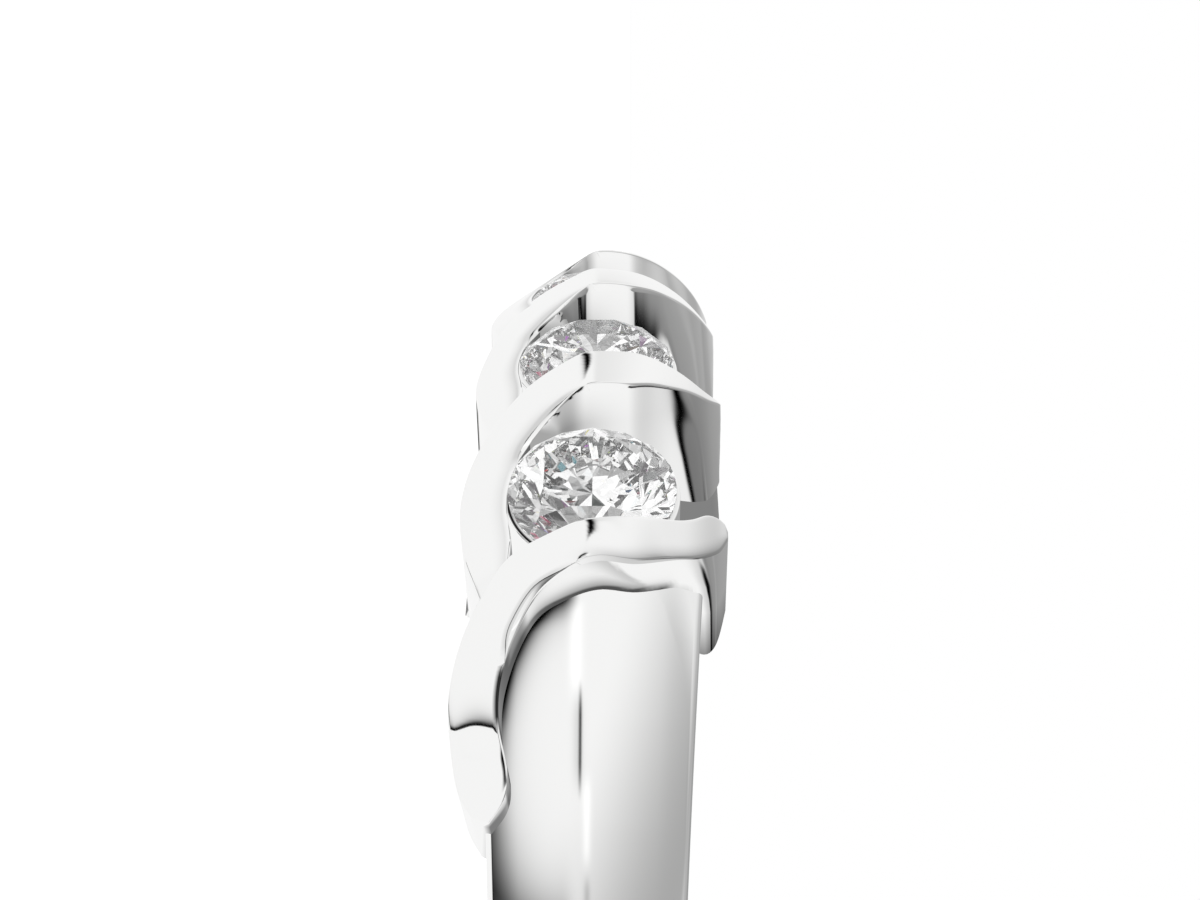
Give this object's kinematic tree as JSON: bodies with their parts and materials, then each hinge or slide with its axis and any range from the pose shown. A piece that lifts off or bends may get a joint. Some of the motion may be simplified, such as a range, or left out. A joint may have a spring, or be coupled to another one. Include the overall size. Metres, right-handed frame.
{
  "type": "seven-stone swirl-bar anniversary ring",
  "caption": "Polished white metal band with a row of round diamonds set low between curved swirl bars over the top half, and a plain tapering shank below.",
  "frame": {"origin": "centre of the finger hole, half way through its length", "axes": "+Z along the finger hole, -Y towards the middle stone, +X towards the shoulder nearest the camera in the picture; the ring lies on its side"},
  "size_m": [0.021, 0.0216, 0.0036],
  "materials": {
    "polished_metal": "mirror-polished white gold, rhodium bright",
    "diamond": "clear round brilliant-cut diamond, colourless"
  },
  "bodies": {
    "root": {"band": "polished_metal", "stone_1": "diamond", "stone_2": "diamond", "stone_3": "diamond", "stone_4": "diamond", "stone_5": "diamond", "stone_6": "diamond", "stone_7": "diamond"}
  },
  "joints": []
}
